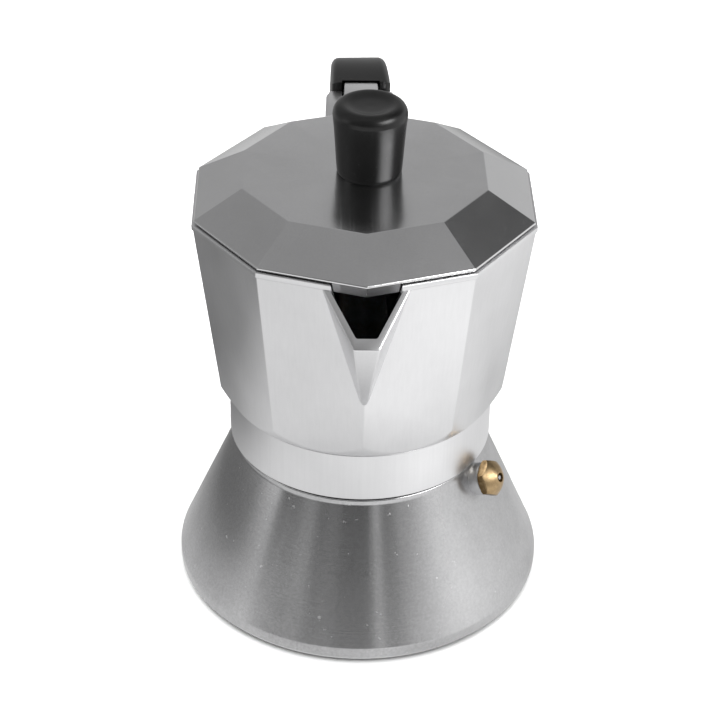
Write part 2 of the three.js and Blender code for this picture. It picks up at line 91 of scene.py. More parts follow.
BASE_RADIUS = boiler_high.x
NECK_TOP = boiler_high.z
FOOT_TOP = 4.5
SHOULDER_RADIUS = 34.4
SHOULDER_BOTTOM = 41.2
SHOULDER_TOP = 42.3
NECK_RADIUS = 31.6
THREAD_PITCH = 3
THREAD_WIDTH = 1.9
POT_SIDES = 10
CORNER = math.pi / POT_SIDES  # half the angle of one side


# ---- outlines ----
def soften(outline, radius, steps=4):
    """Closed outline of (r, z) points with its corners rounded, except those on the axis."""
    result = []
    count = len(outline)
    for i, point in enumerate(outline):
        here = Vector(point)
        if here.x < 1e-6:
            result.append(here)
            continue
        before = Vector(outline[i - 1]) - here
        after = Vector(outline[(i + 1) % count]) - here
        reach = min(radius, 0.45 * before.length, 0.45 * after.length)
        start = here + before.normalized() * reach
        end = here + after.normalized() * reach
        for k in range(steps + 1):
            t = k / steps
            result.append(start * (1 - t) ** 2 + here * 2 * t * (1 - t) + end * t**2)
    return result


def smooth_curve(points, steps=6):
    """Points along a Catmull-Rom curve through the given (r, z) points."""
    line = [Vector(p) for p in points]
    line = [line[0] * 2 - line[1], *line, line[-1] * 2 - line[-2]]
    result = []
    for a, b, c, d in zip(line, line[1:], line[2:], line[3:]):
        for k in range(steps):
            t = k / steps
            result.append(0.5 * (2 * b + (c - a) * t + (2 * a - 5 * b + 4 * c - d) * t**2
                                 + (3 * b - a - 3 * c + d) * t**3))
    result.append(line[-2])
    return result


def round_section(sides):
    angles = [2 * math.pi * k / sides for k in range(sides)]
    return [Vector((math.sin(a), -math.cos(a))) for a in angles]


def ten_sided_section(radius, rounding, steps=5):
    """Ten-sided outline with a corner towards -Y; radius is to the sharp corners."""
    rounding = min(rounding, 0.9 * radius)
    centre_radius = radius - rounding / math.cos(CORNER)
    result = []
    for side in range(POT_SIDES):
        turn = 2 * CORNER * side
        for k in range(steps + 1):
            angle = turn + CORNER * (2 * k / steps - 1)
            result.append(Vector((
                centre_radius * math.sin(turn) + rounding * math.sin(angle),
                -centre_radius * math.cos(turn) - rounding * math.cos(angle),
            )))
    return result


# ---- meshes ----
def swept(outline, section_at):
    """Closed surface from an outline of (r, z) points; section_at(r) gives each level's ring of (x, y)."""
    bm = bmesh.new()
    levels = []
    for radius, z in outline:
        if radius < 1e-6:
            levels.append([bm.verts.new((0, 0, z))])
        else:
            levels.append([bm.verts.new((p.x, p.y, z)) for p in section_at(radius)])
    on_axis = len(levels[0]) == 1 and len(levels[-1]) == 1
    pairs = list(zip(levels, levels[1:]))
    if not on_axis:
        pairs.append((levels[-1], levels[0]))
    for low, high in pairs:
        count = max(len(low), len(high))
        if count == 1:
            continue
        for k in range(count):
            corners = [low[k % len(low)], low[(k + 1) % len(low)]]
            corners += [high[(k + 1) % len(high)], high[k % len(high)]]
            unique = list(dict.fromkeys(corners))
            if len(unique) > 2:
                bm.faces.new(unique)
    bmesh.ops.recalc_face_normals(bm, faces=bm.faces)
    return bm


def turned(outline, sides=96):
    unit = round_section(sides)
    return swept(outline, lambda radius: [p * radius for p in unit])


def ten_sided(outline, rounding):
    return swept(outline, lambda radius: ten_sided_section(radius, rounding))


def plain_cylinder(radius, bottom, top, sides=48):
    return turned([(0, bottom), (radius, bottom), (radius, top), (0, top)], sides)


def cross_bar(radius, half_length, y, z, softness=0.0, sides=48):
    outline = [(0, -half_length), (radius, -half_length), (radius, half_length), (0, half_length)]
    bm = turned(soften(outline, softness) if softness else outline, sides)
    bm.transform(Matrix.Translation((0, y, z)) @ Matrix.Rotation(math.pi / 2, 4, "Y"))
    return bm


def block(low, high):
    bm = bmesh.new()
    bmesh.ops.create_cube(bm, size=1)
    low, high = Vector(low), Vector(high)
    bm.transform(Matrix.Translation((low + high) / 2) @ Matrix.Diagonal((*(high - low), 1)))
    return bm


def hull(points):
    bm = bmesh.new()
    for point in points:
        bm.verts.new(point)
    found = bmesh.ops.convex_hull(bm, input=bm.verts)
    spare = [v for v in found["geom_interior"] + found["geom_unused"] if isinstance(v, bmesh.types.BMVert)]
    bmesh.ops.delete(bm, geom=list(set(spare)), context="VERTS")
    bmesh.ops.dissolve_limit(bm, angle_limit=0.01, verts=bm.verts, edges=bm.edges)
    bmesh.ops.recalc_face_normals(bm, faces=bm.faces)
    return bm


def prism(outline, low, high, plane="XY"):
    """Outline of 2D points extruded from low to high across its plane."""
    bm = bmesh.new()
    place = {"XY": lambda a, b, c: (a, b, c), "YZ": lambda a, b, c: (c, a, b)}[plane]
    ends = [[bm.verts.new(place(a, b, c)) for a, b in outline] for c in (low, high)]
    for ring in ends:
        bm.faces.new(ring)
    for k in range(len(outline)):
        after = (k + 1) % len(outline)
        bm.faces.new((ends[0][k], ends[0][after], ends[1][after], ends[1][k]))
    bmesh.ops.recalc_face_normals(bm, faces=bm.faces)
    return bm


def bevel_edges(bm, width, segments, chosen):
    edges = [e for e in bm.edges if chosen(e)]
    bmesh.ops.bevel(bm, geom=edges, offset=width, segments=segments, profile=0.5, affect="EDGES",
                    clamp_overlap=True)
    return bm


def sharp(limit_degrees):
    limit = math.radians(limit_degrees)
    return lambda e: len(e.link_faces) == 2 and e.calc_face_angle(0) > limit


def raw_object(name, bm):
    mesh = bpy.data.meshes.new(name)
    bm.to_mesh(mesh)
    bm.free()
    obj = bpy.data.objects.new(name, mesh)
    bpy.context.scene.collection.objects.link(obj)
    return obj


def combine(body, operation, *tools):
    """Joins or cuts body (a bmesh) with each tool and gives the result as a bmesh."""
    target = raw_object("combining", body)
    for tool in tools:
        other = raw_object("tool", tool)
        modifier = target.modifiers.new("combine", "BOOLEAN")
        modifier.operation = operation
        modifier.solver = "EXACT"
        modifier.object = other
        shown = target.evaluated_get(bpy.context.evaluated_depsgraph_get())
        baked = bpy.data.meshes.new_from_object(shown)
        target.modifiers.clear()
        target.data = baked
        bpy.data.objects.remove(other)
    result = bmesh.new()
    result.from_mesh(target.data)
    bpy.data.objects.remove(target)
    return result


def joined(*parts):
    """Several closed surfaces in one bmesh, not cut by each other."""
    result = bmesh.new()
    for part in parts:
        mesh = bpy.data.meshes.new("part")
        part.to_mesh(mesh)
        part.free()
        result.from_mesh(mesh)
        bpy.data.meshes.remove(mesh)
    return result


def piece(name, bm, body, slot, material, *nodes, smooth_degrees=30):
    """Makes the finished piece in metres, with soft shading across its gentle edges."""
    bmesh.ops.remove_doubles(bm, verts=bm.verts, dist=1e-4)
    limit = math.radians(smooth_degrees)
    for face in bm.faces:
        face.smooth = True
    for edge in bm.edges:
        edge.smooth = not (len(edge.link_faces) == 2 and edge.calc_face_angle(0) > limit)
    bm.transform(Matrix.Scale(MM, 4))
    obj = raw_object(name, bm)
    obj.data.materials.append(material)
    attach(obj, body)
    if nodes:
        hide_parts(*nodes)
    return obj


# ---- materials ----
class Nodes:
    """Small builder for one node material."""

    def __init__(self, name):
        self.material = bpy.data.materials.new(name)
        self.material.use_nodes = True
        self.tree = self.material.node_tree
        self.shader = self.tree.nodes["Principled BSDF"]
        self.place = self.add("ShaderNodeTexCoord").outputs["Object"]

    def add(self, kind, **values):
        node = self.tree.nodes.new(kind)
        for key, value in values.items():
            setattr(node, key, value)
        return node

    def link(self, source, target):
        self.tree.links.new(source, target)

    def scaled(self, scale, turn=(0, 0, 0)):
        mapping = self.add("ShaderNodeMapping")
        mapping.inputs["Scale"].default_value = scale
        mapping.inputs["Rotation"].default_value = turn
        self.link(self.place, mapping.inputs["Vector"])
        return mapping.outputs["Vector"]

    def noise(self, scale, detail=4.0, roughness=0.55, vector=None):
        node = self.add("ShaderNodeTexNoise")
        node.inputs["Scale"].default_value = scale
        node.inputs["Detail"].default_value = detail
        node.inputs["Roughness"].default_value = roughness
        self.link(vector or self.place, node.inputs["Vector"])
        return node.outputs["Fac"]

    def spread(self, value, low, high, to_low, to_high):
        node = self.add("ShaderNodeMapRange")
        for socket, number in zip(("From Min", "From Max", "To Min", "To Max"), (low, high, to_low, to_high)):
            node.inputs[socket].default_value = number
        self.link(value, node.inputs["Value"])
        return node.outputs["Result"]

    def math(self, operation, a, b):
        node = self.add("ShaderNodeMath", operation=operation)
        for socket, value in zip(node.inputs, (a, b)):
            if isinstance(value, (int, float)):
                socket.default_value = value
            else:
                self.link(value, socket)
        return node.outputs["Value"]

    def colours(self, factor, low, high):
        node = self.add("ShaderNodeMix", data_type="RGBA")
        for socket, colour in (("A", low), ("B", high)):
            target = [i for i in node.inputs if i.name == socket and i.type == "RGBA"][0]
            if isinstance(colour, tuple):
                target.default_value = (*colour, 1)
            else:
                self.link(colour, target)
        self.link(factor, node.inputs["Factor"])
        return [o for o in node.outputs if o.type == "RGBA"][0]

    def bump(self, height, strength, distance):
        node = self.add("ShaderNodeBump")
        node.inputs["Strength"].default_value = strength
        node.inputs["Distance"].default_value = distance
        self.link(height, node.inputs["Height"])
        self.link(node.outputs["Normal"], self.shader.inputs["Normal"])

    def surface(self, colour, roughness, metallic):
        self.link(colour, self.shader.inputs["Base Color"])
        self.link(roughness, self.shader.inputs["Roughness"])
        self.shader.inputs["Metallic"].default_value = metallic


def grey(value):
    return (value, value, value * 1.01)


def satin_aluminium():
    """Hand-polished castings: soft cloudy variation, fine crossed polishing marks."""
    n = Nodes("satin_aluminium")
    clouds = n.noise(55, 5)
    grain = n.noise(2400, 2)
    marks = n.noise(1300, 2, vector=n.scaled((1, 1, 0.04), (0.25, 0.15, 0)))
    marks_too = n.noise(1500, 2, vector=n.scaled((0.04, 1, 1), (0.2, 0, 0.7)))
    shade = n.math("ADD", n.spread(clouds, 0.3, 0.7, 0, 0.7), n.spread(marks, 0.3, 0.7, 0, 0.3))
    colour = n.colours(shade, grey(0.76), grey(0.84))
    rough = n.math("ADD", n.spread(clouds, 0.3, 0.7, 0.29, 0.36), n.spread(marks_too, 0.3, 0.7, 0, 0.03))
    n.surface(colour, rough, 1)
    n.bump(n.math("ADD", n.math("ADD", marks, marks_too), grain), 0.06, 0.00001)
    return n.material


def polished_aluminium():
    """Buffed lid: close to a mirror, with fine grain, faint scratches and a little haze."""
    n = Nodes("polished_aluminium")
    haze = n.noise(45, 4)
    grain = n.noise(2600, 2)
    scratch_a = n.noise(1500, 2, vector=n.scaled((1, 0.02, 1), (0, 0, 0.5)))
    scratch_b = n.noise(1700, 2, vector=n.scaled((0.02, 1, 1), (0, 0, 0.9)))
    scratches = n.math("MAXIMUM", n.spread(scratch_a, 0.62, 0.74, 0, 1),
                       n.spread(scratch_b, 0.62, 0.74, 0, 1))
    shade = n.math("ADD", n.spread(haze, 0.3, 0.7, 0, 0.6), n.spread(grain, 0.3, 0.7, 0, 0.4))
    colour = n.colours(shade, grey(0.70), grey(0.79))
    rough = n.math("ADD", n.spread(haze, 0.3, 0.7, 0.15, 0.21), n.math("MULTIPLY", scratches, 0.05))
    n.surface(colour, rough, 1)
    n.bump(n.math("ADD", scratches, grain), 0.10, 0.00003)
    return n.material


def turned_aluminium():
    """Lathe-turned boiler: fine rings, streaks across them, faint water stains and pale specks."""
    n = Nodes("turned_aluminium")
    rings = n.noise(3500, 2, vector=n.scaled((0.004, 0.004, 1)))
    stains = n.noise(38, 6, 0.65)
    grain = n.noise(1300, 3, 0.7)
    specks = n.spread(n.noise(620, 3), 0.70, 0.76, 0, 1)
    shade = n.math("ADD", n.spread(stains, 0.35, 0.65, 0, 0.55), n.spread(grain, 0.3, 0.7, 0, 0.45))
    worn = n.colours(shade, grey(0.45), grey(0.63))
    colour = n.colours(n.math("MULTIPLY", specks, 0.7), worn, grey(0.92))
    side = n.add("ShaderNodeSeparateXYZ")
    n.link(n.place, side.inputs[0])
    dulled = n.spread(side.outputs["X"], 0.012, 0.030, 0, 0.16)
    rough = n.math("ADD", n.math("ADD", n.spread(stains, 0.35, 0.65, 0.20, 0.16), dulled),
                   n.math("MULTIPLY", specks, 0.2))
    n.surface(colour, rough, 1)
    n.shader.inputs["Anisotropic"].default_value = 0.6
    n.shader.inputs["Anisotropic Rotation"].default_value = 0.25
    tangent = n.add("ShaderNodeTangent", direction_type="RADIAL", axis="Z")
    n.link(tangent.outputs["Tangent"], n.shader.inputs["Tangent"])
    n.bump(n.math("ADD", rings, grain), 0.10, 0.00004)
    return n.material


def spun_aluminium():
    """Thin spun sheet of the funnel and filter."""
    n = Nodes("spun_aluminium")
    rings = n.noise(2200, 2, vector=n.scaled((0.01, 0.01, 1)))
    coffee = n.noise(70, 5, 0.7)
    colour = n.colours(n.spread(coffee, 0.52, 0.72, 0, 1), grey(0.66), (0.58, 0.53, 0.46))
    n.surface(colour, n.spread(coffee, 0.3, 0.7, 0.42, 0.52), 1)
    n.bump(rings, 0.10, 0.00004)
    return n.material


def column_aluminium():
    """Inside casting, a little stained by coffee."""
    n = Nodes("column_aluminium")
    stain = n.noise(90, 6, 0.7)
    colour = n.colours(n.spread(stain, 0.45, 0.7, 0, 1), grey(0.72), (0.5, 0.42, 0.34))
    n.surface(colour, n.spread(stain, 0.3, 0.7, 0.34, 0.5), 1)
    n.bump(n.noise(1500, 3), 0.12, 0.00005)
    return n.material


def plain_steel():
    n = Nodes("plain_steel")
    wear = n.noise(400, 4)
    lines = n.noise(4000, 2, vector=n.scaled((1, 1, 0.05)))
    n.surface(n.colours(wear, grey(0.42), grey(0.60)), n.spread(wear, 0.3, 0.7, 0.25, 0.4), 1)
    n.bump(lines, 0.06, 0.0001)
    return n.material


def dull_brass(axis, start):
    """Machined brass, browned in patches, with a painted highlight that lightens it towards the valve's nose.
    """
    n = Nodes("dull_brass")
    tarnish = n.noise(420, 5, 0.65)
    along = n.add("ShaderNodeVectorMath", operation="DOT_PRODUCT")
    n.link(n.place, along.inputs[0])
    along.inputs[1].default_value = axis
    # painted highlight: the colour lightens along the valve's axis towards its nose
    wear_and_highlight = n.spread(along.outputs["Value"], start + 0.0046, start + 0.0054, 0, 0.62)
    lines = n.noise(5000, 2, vector=n.scaled((0.05, 0.05, 1), (0.9, 0, 1.0)))
    shade = n.math("ADD", n.spread(tarnish, 0.35, 0.65, 0, 0.38), wear_and_highlight)
    colour = n.colours(shade, (0.11, 0.068, 0.028), (0.50, 0.36, 0.20))
    n.surface(colour, n.spread(tarnish, 0.3, 0.7, 0.46, 0.28), 1)
    n.bump(lines, 0.07, 0.0001)
    return n.material


def black_plastic():
    """Moulded black resin: glossy, with a faint ripple, dust and worn patches."""
    n = Nodes("black_plastic")
    wear_and_highlight = n.noise(55, 5, 0.6)
    dust = n.spread(n.noise(1600, 2), 0.72, 0.76, 0, 1)
    base = n.colours(n.spread(wear_and_highlight, 0.3, 0.7, 0, 1), (0.003, 0.003, 0.003), (0.006, 0.006, 0.006))
    colour = n.colours(n.math("MULTIPLY", dust, 0.3), base, (0.16, 0.16, 0.15))
    rough = n.math("ADD", n.spread(wear_and_highlight, 0.3, 0.7, 0.27, 0.37), n.math("MULTIPLY", dust, 0.3))
    n.surface(colour, rough, 0)
    n.shader.inputs["Specular IOR Level"].default_value = 0.42
    n.bump(n.noise(220, 3), 0.03, 0.0003)
    return n.material


def silicone():
    n = Nodes("silicone")
    mottle = n.noise(160, 5, 0.6)
    colour = n.colours(mottle, (0.66, 0.63, 0.55), (0.82, 0.80, 0.74))
    n.surface(colour, n.spread(mottle, 0.3, 0.7, 0.45, 0.62), 0)
    n.bump(n.noise(1800, 3), 0.12, 0.0002)
    return n.material


SATIN = satin_aluminium()
POLISHED = polished_aluminium()
TURNED = turned_aluminium()
SPUN = spun_aluminium()
COLUMN = column_aluminium()
STEEL = plain_steel()
BLACK = black_plastic()
SILICONE = silicone()


# ---- boiler ----
def helix_ridge(root, crest, bottom, turns, pitch, width, steps_per_turn=96):
    """Screw-thread ridge: a triangular section carried round a helix, closed at both ends."""
    bm = bmesh.new()
    inside = min(root, crest) == root
    sink = -0.25 if inside else 0.25
    section = [(root + sink, -width / 2), (root, -width / 2), (crest, -width / 8), (crest, width / 8),
               (root, width / 2), (root + sink, width / 2)]
    rings = []
    total = int(turns * steps_per_turn)
    for k in range(total + 1):
        angle = 2 * math.pi * k / steps_per_turn
        z = bottom + pitch * k / steps_per_turn
        fade = min(1, 6 * k / total, 6 * (total - k) / total)
        ring = []
        for radius, rise in section:
            r = root + sink + (radius - root - sink) * fade
            ring.append(bm.verts.new((r * math.sin(angle), -r * math.cos(angle), z + rise)))
        rings.append(ring)
    for low, high in zip(rings, rings[1:]):
        for k in range(len(section)):
            after = (k + 1) % len(section)
            bm.faces.new((low[k], low[after], high[after], high[k]))
    bm.faces.new(rings[0])
    bm.faces.new(rings[-1])
    bmesh.ops.recalc_face_normals(bm, faces=bm.faces)
    return bm


valve_joint = next(j for j in frame["joints"] if j["name"] == "valve_plunger_slide")
VALVE_AXIS = Vector(valve_joint["axis"])
valve_cap_low, valve_cap_high = mm_box("valve_cap")
CONE_SLOPE = (BASE_RADIUS - SHOULDER_RADIUS) / (SHOULDER_BOTTOM - FOOT_TOP)
VALVE_HOLE = 3.4


def valve_place():
    """Matrix that stands a shape made along +Z on the boiler's wall, where the valve's axis meets it."""
    centre = (valve_cap_low + valve_cap_high) / 2
    along = VALVE_AXIS

    def inside_wall(point):
        return math.hypot(point.x, point.y) - (BASE_RADIUS - CONE_SLOPE * (point.z - FOOT_TOP)) < 0

    low, high = -20.0, 5.0
    for _ in range(40):
        middle = (low + high) / 2
        low, high = (middle, high) if inside_wall(centre + along * middle) else (low, middle)
    foot = centre + along * low
    return Matrix.Translation(foot) @ along.to_track_quat("Z", "Y").to_matrix().to_4x4()


VALVE = valve_place()
BRASS = dull_brass(VALVE_AXIS, VALVE.translation.dot(VALVE_AXIS) * MM)


def on_valve(bm):
    bm.transform(VALVE)
    return bm


def boiler():
    outline = [
        (0, 0), (39.6, 0), (40, 0.5), (41.2, 0.5), (41.6, 0), (48.6, 0), (BASE_RADIUS, 1.8),
        (BASE_RADIUS, FOOT_TOP),
        (SHOULDER_RADIUS, SHOULDER_BOTTOM), (SHOULDER_RADIUS, SHOULDER_TOP), (NECK_RADIUS, SHOULDER_TOP),
        (NECK_RADIUS, NECK_TOP), (28.9, NECK_TOP), (28.9, 44), (31, 41), (47, 6), (44, 3.5), (0, 3.5),
    ]
    body = turned(soften(outline, 0.45), 160)
    hole = on_valve(plain_cylinder(VALVE_HOLE, -9, 4))
    body = combine(body, "DIFFERENCE", hole)
    thread = helix_ridge(NECK_RADIUS, 32.3, 45.0, 3.2, THREAD_PITCH, THREAD_WIDTH)
    return joined(body, thread)


piece("boiler", boiler(), "boiler", "boiler_aluminium", TURNED, "boiler_body")


# ---- safety valve, each piece along its own axis ----
WASHER_RADIUS = 4.4
WASHER_BOTTOM = -0.4  # pressed into the cone's wall
WASHER_TOP = 2.8
HEX_BOTTOM = 3.1
HEX_RADIUS = 5.25
HEX_TURN = math.radians(24)
NOSE_TOP = 7.4
MOUTH_BOTTOM = 6.5
VALVE_BORE = 1.9
MOUTH_RADIUS = 1.3
SHANK_RADIUS = 3
VALVE_INNER_END = -6.5
BUSHING_BOTTOM, BUSHING_TOP = 5.2, 6.2
PIN_RADIUS = 0.6
SPRING_BOTTOM = -1.6


def valve_hexagon():
    turns = [HEX_TURN + math.pi * k / 3 for k in range(6)]
    corners = [(HEX_RADIUS * math.cos(a), HEX_RADIUS * math.sin(a)) for a in turns]
    nut = prism(corners, HEX_BOTTOM, NOSE_TOP + 1)
    shape = smooth_curve([(5.26, 4.65), (4.95, 5.0), (4.55, 5.4), (4.05, 5.88), (3.4, 6.38), (2.7, 6.83),
                          (2.1, 7.14), (1.6, NOSE_TOP)], 4)
    envelope = [(0, HEX_BOTTOM), (4.9, HEX_BOTTOM), (5.26, HEX_BOTTOM + 0.35), *shape, (0, NOSE_TOP)]
    nut = combine(nut, "INTERSECT", turned(envelope, 96))
    shank_top = HEX_BOTTOM + 0.3
    shank = turned(soften([(0, VALVE_INNER_END), (SHANK_RADIUS, VALVE_INNER_END), (SHANK_RADIUS, shank_top),
                           (0, shank_top)], 0.25), 48)
    bore = turned([(0, -4.5), (VALVE_BORE, -4.5), (VALVE_BORE, MOUTH_BOTTOM), (MOUTH_RADIUS, MOUTH_BOTTOM),
                   (MOUTH_RADIUS, 8), (0, 8)], 48)
    return combine(combine(nut, "UNION", shank), "DIFFERENCE", bore, plain_cylinder(0.9, -8, -4))


def valve_bushing():
    inner, outer = PIN_RADIUS + GAP, VALVE_BORE - GAP
    outline = [(inner, BUSHING_BOTTOM), (outer, BUSHING_BOTTOM), (outer, BUSHING_TOP), (inner, BUSHING_TOP)]
    return turned(soften(outline, 0.15), 48)


def valve_plunger():
    outline = [(0, -4.2), (1.5, -4.2), (1.5, -2.9), (PIN_RADIUS, -2.7), (PIN_RADIUS, NOSE_TOP - 0.2),
               (0, NOSE_TOP - 0.2)]
    return turned(soften(outline, 0.15), 32)


def coil(radius, wire, bottom, top, turns, sides=10):
    bm = bmesh.new()
    steps = int(turns * 40)
    rings = []
    for k in range(steps + 1):
        angle = 2 * math.pi * turns * k / steps
        out = Vector((math.cos(angle), math.sin(angle), 0))
        centre = out * radius + Vector((0, 0, bottom + (top - bottom) * k / steps))
        ring = [centre + out * wire * math.cos(a) + Vector((0, 0, wire * math.sin(a)))
                for a in (2 * math.pi * s / sides for s in range(sides))]
        rings.append([bm.verts.new(p) for p in ring])
    for low, high in zip(rings, rings[1:]):
        for k in range(sides):
            after = (k + 1) % sides
            bm.faces.new((low[k], low[after], high[after], high[k]))
    bm.faces.new(rings[0])
    bm.faces.new(rings[-1])
    bmesh.ops.recalc_face_normals(bm, faces=bm.faces)
    return bm


washer_outline = soften([(VALVE_HOLE, WASHER_BOTTOM), (WASHER_RADIUS, WASHER_BOTTOM),
                         (WASHER_RADIUS, WASHER_TOP), (VALVE_HOLE, WASHER_TOP)], 0.25)
piece("valve_seal", on_valve(turned(washer_outline, 64)), "boiler", "spun_aluminium", SPUN, "valve_washer")
piece("valve_hexagon", on_valve(valve_hexagon()), "boiler", "brass", BRASS, "valve_body")
piece("valve_bushing", on_valve(valve_bushing()), "boiler", "brass", BRASS, "valve_cap")
spring = coil(1.25, 0.22, SPRING_BOTTOM, BUSHING_BOTTOM - 2 * GAP, 5)
piece("valve_coil", on_valve(spring), "boiler", "steel", STEEL, "valve_spring")
piece("valve_plunger", on_valve(valve_plunger()), "valve_plunger", "steel", STEEL, "valve_pin")


# ---- funnel ----
def hole_field(reach, pitch, radius, bottom, top, sides=14):
    """One bmesh of separate pegs on a triangular grid, for drilling a disc."""
    pegs = []
    row_height = pitch * math.sin(math.pi / 3)
    rows = int(reach / row_height)
    for row in range(-rows, rows + 1):
        shift = pitch / 2 if row % 2 else 0
        for column in range(-int(reach / pitch) - 1, int(reach / pitch) + 2):
            x, y = column * pitch + shift, row * row_height
            if math.hypot(x, y) <= reach:
                peg = plain_cylinder(radius, bottom, top, sides)
                peg.transform(Matrix.Translation((x, y, 0)))
                pegs.append(peg)
    return joined(*pegs)


def funnel_cup():
    flange_bottom, flange_top = basket_high.z - 0.8, basket_high.z
    outline = [
        (31.2, flange_bottom), (31.2, flange_top), (27.4, flange_top), (27.4, 41.6), (3.9, 34.6), (3.9, 29),
        (4.8, 29), (4.8, 34), (28.3, 41), (28.3, flange_bottom),
    ]
    return turned(soften(outline, 0.8), 144)


def funnel_tube():
    outline = [(2.6, 9), (2.6, stem_high.z), (3.4, stem_high.z), (3.4, 7), (2.9, 7)]
    return turned(soften(outline, 0.2), 64)


def sieve():
    low, high = sieve_low.z, sieve_high.z
    disc = turned(soften([(0, low), (26.9, low), (26.9, high), (0, high)], 0.25), 120)
    return combine(disc, "DIFFERENCE", hole_field(23.5, 4.2, 0.75, low - 1, high + 1))


piece("funnel_cup", funnel_cup(), "funnel", "spun_aluminium", SPUN, "funnel_basket")
piece("funnel_tube", funnel_tube(), "funnel", "spun_aluminium", SPUN, "funnel_stem")
piece("sieve", sieve(), "funnel", "spun_aluminium", SPUN, "basket_sieve")


# ---- gasket and filter ----
def gasket_ring():
    low, high = gasket_low.z, gasket_high.z
    middle = (low + high) / 2
    outline = [(26.2, low), (31.85, low), (31.85, high), (26.2, high), (26.2, middle + 0.4), (26.7, middle),
               (26.2, middle - 0.4)]
    return turned(soften(outline, 0.5), 120)


def filter_disc():
    low, high = filter_low.z, filter_high.z
    disc = turned(soften([(0, low), (28.1, low), (28.1, high), (0, high)], 0.25), 120)
    return combine(disc, "DIFFERENCE", hole_field(23.5, 3.4, 0.6, low - 1, high + 1))


piece("gasket_ring", gasket_ring(), "gasket_and_filter", "seal_rubber", SILICONE, "gasket")
piece("filter_disc", filter_disc(), "gasket_and_filter", "spun_aluminium", SPUN, "filter_plate")


# ---- upper pot ----
hinge_joint = next(j for j in frame["joints"] if j["name"] == "lid_hinge")
HINGE_Y = hinge_joint["pos_m"][1] / MM
HINGE_Z = hinge_joint["pos_m"][2] / MM
HINGE_PIN_RADIUS = 1.2
PIN_HOLE_RADIUS = HINGE_PIN_RADIUS + GAP
POT_BOTTOM = 58.3
POT_RIM = 114.1
BAND_BOTTOM = POT_RIM - 1.7
POT_BOTTOM_RADIUS = 38.7
COLLAR_RADIUS = 35.5
COLLAR_GROOVE_RADIUS = 35.05
COLLAR_BORE = 33.4
POT_RIM_RADIUS = 45.7
BEAD_RADIUS = 46.1
POT_WALL = 2.7
SLOT_HALF_WIDTH = 5.3
TAIL_SWEEP_RADIUS = 11.2  # room in the pot for the tongue's tail as the lid opens
GRIP_SWEEP_RADIUS = 10.6  # and in the handle's head
BOSS_BACK = 60.2
EAR_TOP = 114.6
HANDLE_FRONT = BOSS_BACK + GAP
HANDLE_HALF_WIDTH = 8.35
HANDLE_SKEW = math.radians(2)
HANDLE_TAPER = 0.0038  # share of its width that the grip loses per millimetre backwards
HANDLE_LEAST_WIDTH = 0.93
HANDLE_SCREW_Y = 65
LUG_LOW, LUG_HIGH = (-4.2, 50, 92), (4.2, 70, 98.6)
EDGE_ROUNDING = 0.9  # of the pot's ten corners


def pot_radius(z):
    rise = POT_RIM_RADIUS - POT_BOTTOM_RADIUS
    return POT_BOTTOM_RADIUS + rise * (z - POT_BOTTOM) / (BAND_BOTTOM - POT_BOTTOM)


def pot_outside():
    outline = [
        (0, POT_BOTTOM), (POT_BOTTOM_RADIUS, POT_BOTTOM), (POT_RIM_RADIUS, BAND_BOTTOM),
        (BEAD_RADIUS, BAND_BOTTOM + 0.3), (BEAD_RADIUS, POT_RIM), (0, POT_RIM),
    ]
    facets = ten_sided(soften(outline, 0.3, 3), EDGE_ROUNDING)
    foot = turned([(0, POT_BOTTOM - 1), (36.35, POT_BOTTOM - 1), (36.35, POT_BOTTOM), (43.2, 70), (60, 72),
                   (60, 120), (0, 120)], 160)
    facets = combine(facets, "INTERSECT", foot)
    collar_outline = [
        (0, pot_low.z), (COLLAR_RADIUS, pot_low.z), (COLLAR_RADIUS, POT_BOTTOM - 0.75),
        (COLLAR_GROOVE_RADIUS, POT_BOTTOM - 0.45), (COLLAR_GROOVE_RADIUS, POT_BOTTOM + 0.5),
        (0, POT_BOTTOM + 0.5),
    ]
    return combine(facets, "UNION", turned(soften(collar_outline, 0.4), 160))


def spout_outside():
    tip = 77.4
    points = [(0, -38.5, tip + 1)]
    for side in (-1, 1):
        points.append((side * 0.8, -pot_radius(tip), tip))
        points.append((side * 10.8, -42.6, 112.7))
        points.append((side * 10.8, -38.6, 113.9))
        points.append((side * 3.2, -55.6, 103.5))
    wedge = hull(points)
    return bevel_edges(wedge, 0.5, 3, sharp(15))


def spout_inside():
    points = [(0, -39.4, 83), (0, -34, 84.5)]
    for side in (-1, 1):
        points += [(side * 2.6, -53.1, 105.2), (side * 2.6, -53.1, 118)]
        for y in (-43.1, -34):
            points += [(side * 8.8, y, 112.4), (side * 8.8, y, 118)]
    return bevel_edges(hull(points), 0.4, 2, sharp(15))


def back_boss():
    plan = prism([(-10, 40), (10, 40), (10, 46), (9.7, BOSS_BACK - 2.5), (8.7, BOSS_BACK), (-8.7, BOSS_BACK),
                  (-9.7, BOSS_BACK - 2.5), (-10, 46)], 80, 120)
    profile = prism([(38, 80), (43.5, 80), (BOSS_BACK, 90), (BOSS_BACK, EAR_TOP), (47.6, EAR_TOP),
                     (46.2, POT_RIM), (43, POT_RIM), (38, 110)], -12, 12, "YZ")
    shape = combine(plan, "INTERSECT", profile)
    shape = bevel_edges(shape, 0.6, 3, sharp(20))
    return combine(shape, "UNION", bevel_edges(block(LUG_LOW, LUG_HIGH), 0.3, 2, sharp(30)))


def tongue_slot():
    rim = block((-SLOT_HALF_WIDTH, 40, 111.6), (SLOT_HALF_WIDTH, 62, 118))
    knuckle = cross_bar(3.9, SLOT_HALF_WIDTH, HINGE_Y, HINGE_Z)
    sweep = combine(cross_bar(TAIL_SWEEP_RADIUS, SLOT_HALF_WIDTH, HINGE_Y, HINGE_Z), "INTERSECT",
                    block((-SLOT_HALF_WIDTH - 1, 49, 90), (SLOT_HALF_WIDTH + 1, 70, 118)))
    return combine(rim, "UNION", knuckle, sweep)


